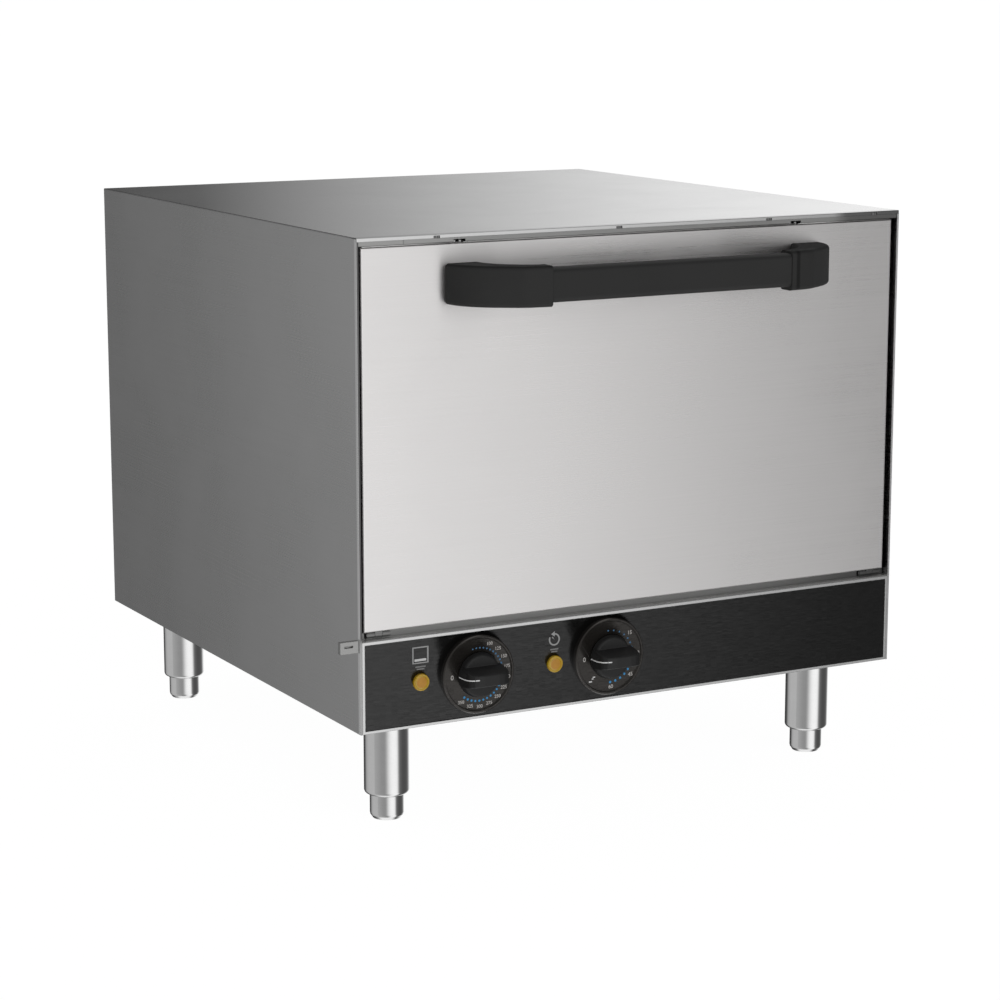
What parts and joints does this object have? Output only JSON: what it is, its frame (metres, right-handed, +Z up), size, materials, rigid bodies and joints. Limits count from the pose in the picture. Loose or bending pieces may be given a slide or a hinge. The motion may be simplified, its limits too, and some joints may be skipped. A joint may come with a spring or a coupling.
{
  "type": "electric countertop pizza oven",
  "caption": "Electric countertop pizza oven with a drop-down door, black bar handle, ceramic decks inside, knob controls below the door, and adjustable legs.",
  "frame": {"origin": "middle of the whole object's bounding box, on the surface that the feet stand on", "axes": "+Z up; the door and controls face -Y; +X is to the right of a person facing the door. The cabinet's own middle is 9.5 mm to the +X side, because the small keeper tab reaches out on the -X side"},
  "size_m": [0.614, 0.703, 0.559],
  "materials": {
    "stainless_casing": "satin",
    "stainless_door": "satin",
    "bright_trim": "polished",
    "leg_chrome": "polished",
    "aluminised_steel": "satin",
    "galvanised_steel": "satin",
    "fascia_black": "gloss",
    "dial_black": "satin",
    "knob_black": "satin",
    "handle_black": "matte",
    "amber_lens": "gloss",
    "cordierite": "matte",
    "element_sheath": "matte",
    "mineral_wool": "matte",
    "gasket_rope": "matte",
    "hinge_steel": "satin",
    "fastener_steel": "satin",
    "control_case": "satin",
    "terminal_plastic": "satin",
    "gland_plastic": "matte",
    "wire_sheath": "matte"
  },
  "bodies": {
    "cabinet": {"back_panel": "stainless_casing", "back_panel_screws": "fastener_steel", "base_pan": "galvanised_steel", "cable_gland": "gland_plastic", "chamber_back_wall": "aluminised_steel", "chamber_ceiling": "aluminised_steel", "chamber_floor": "aluminised_steel", "chamber_side_walls": "aluminised_steel", "chassis_deck": "galvanised_steel", "control_bezel": "bright_trim", "control_fascia": "fascia_black", "control_mounting_plate": "galvanised_steel", "deck_rails": "aluminised_steel", "door_gasket": "gasket_rope", "element_support_bars": "aluminised_steel", "front_frame": "hinge_steel", "front_left_leg": "leg_chrome", "front_right_leg": "leg_chrome", "high_limit_thermostat": "control_case", "hinge_rod": "fastener_steel", "indicator_lamp_bodies": "control_case", "indicator_lamp_lenses": "amber_lens", "insulation_slabs": "mineral_wool", "internal_wiring": "wire_sheath", "left_side_panel": "stainless_casing", "leg_mounting_bolts": "fastener_steel", "lower_deck_stone": "cordierite", "lower_heating_element": "element_sheath", "middle_heating_element": "element_sheath", "rear_left_leg": "leg_chrome", "rear_right_leg": "leg_chrome", "right_side_panel": "stainless_casing", "side_keeper_tab": "stainless_casing", "sill_hinge_leaf": "hinge_steel", "temperature_dial": "dial_black", "terminal_block": "terminal_plastic", "thermostat_body": "control_case", "thermostat_bulb": "fastener_steel", "timer_body": "control_case", "timer_dial": "dial_black", "top_lip_screws": "fastener_steel", "top_panel": "stainless_casing", "upper_deck_stone": "cordierite", "upper_heating_element": "element_sheath"},
    "door": {"door_outer_skin": "stainless_door", "door_inner_panel": "aluminised_steel", "door_insulation": "mineral_wool", "door_top_strikes": "fastener_steel", "door_hinge_knuckles": "hinge_steel", "handle_bar": "handle_black", "handle_ends": "handle_black", "handle_screws": "fastener_steel"},
    "temperature_control": {"temperature_knob": "knob_black", "thermostat_shaft": "fastener_steel"},
    "timer_control": {"timer_knob": "knob_black", "timer_shaft": "fastener_steel"},
    "front_left_foot": {"front_left_foot": "leg_chrome"},
    "front_right_foot": {"front_right_foot": "leg_chrome"},
    "rear_left_foot": {"rear_left_foot": "leg_chrome"},
    "rear_right_foot": {"rear_right_foot": "leg_chrome"}
  },
  "joints": [
    {"name": "door_hinge", "type": "hinge", "parent": "cabinet", "child": "door", "pos_m": [0.0095, -0.284, 0.1938], "axis": [1, 0, 0], "range_deg": [0, 90]},
    {"name": "temperature_turn", "type": "hinge", "parent": "cabinet", "child": "temperature_control", "pos_m": [-0.1675, -0.2915, 0.146], "axis": [0, 1, 0], "range_deg": [0, 308]},
    {"name": "timer_turn", "type": "hinge", "parent": "cabinet", "child": "timer_control", "pos_m": [-0.025, -0.2915, 0.146], "axis": [0, 1, 0], "range_deg": [0, 270]},
    {"name": "front_left_foot_screw", "type": "slide", "parent": "cabinet", "child": "front_left_foot", "axis": [0, 0, -1], "range_m": [0, 0.02]},
    {"name": "front_right_foot_screw", "type": "slide", "parent": "cabinet", "child": "front_right_foot", "axis": [0, 0, -1], "range_m": [0, 0.02]},
    {"name": "rear_left_foot_screw", "type": "slide", "parent": "cabinet", "child": "rear_left_foot", "axis": [0, 0, -1], "range_m": [0, 0.02]},
    {"name": "rear_right_foot_screw", "type": "slide", "parent": "cabinet", "child": "rear_right_foot", "axis": [0, 0, -1], "range_m": [0, 0.02]}
  ]
}
